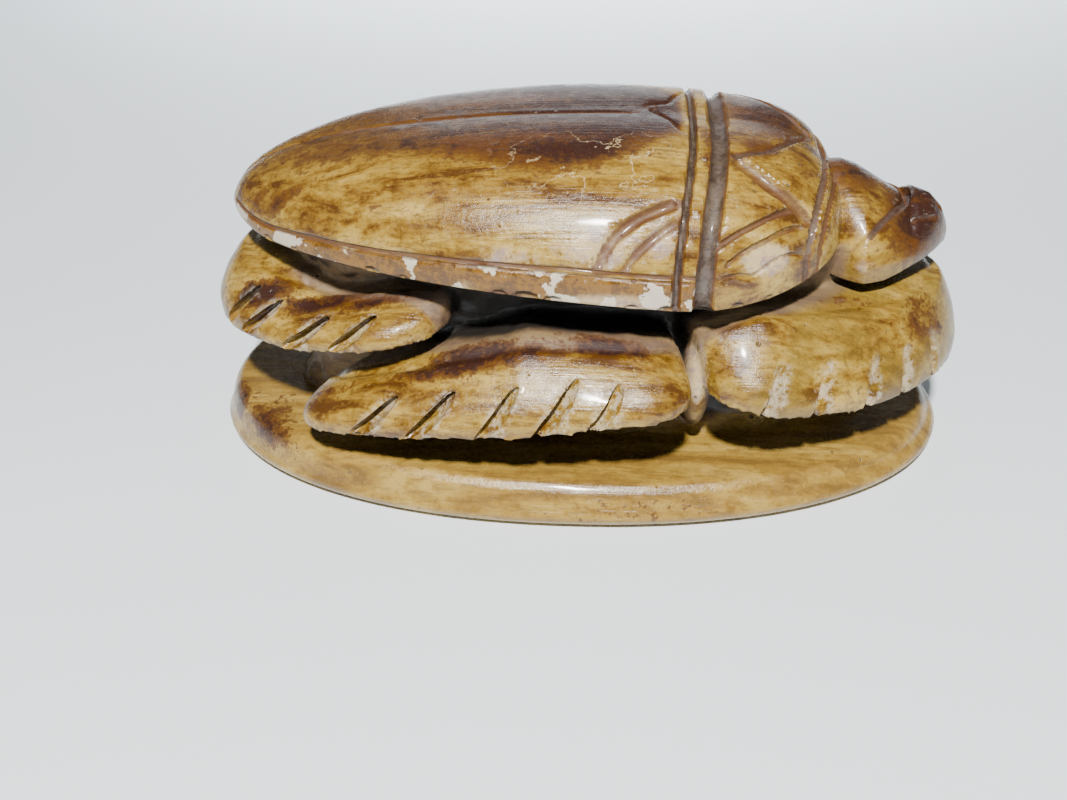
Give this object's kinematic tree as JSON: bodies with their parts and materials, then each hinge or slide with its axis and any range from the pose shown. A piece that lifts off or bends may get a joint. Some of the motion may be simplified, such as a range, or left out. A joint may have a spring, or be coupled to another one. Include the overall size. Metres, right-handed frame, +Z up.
{
  "type": "scarab amulet",
  "caption": "Carved soapstone scarab beetle with notched legs, undercut above a flat oval base slab; stands as an ornament or paperweight.",
  "frame": {"origin": "centre of the flat underside of the oval base", "axes": "+X toward the beetle's head, +Y to its left side, +Z up"},
  "size_m": [0.1114, 0.0646, 0.0488],
  "materials": {
    "polished_soapstone": null
  },
  "bodies": {
    "root": {"scarab": "polished_soapstone"}
  },
  "joints": []
}
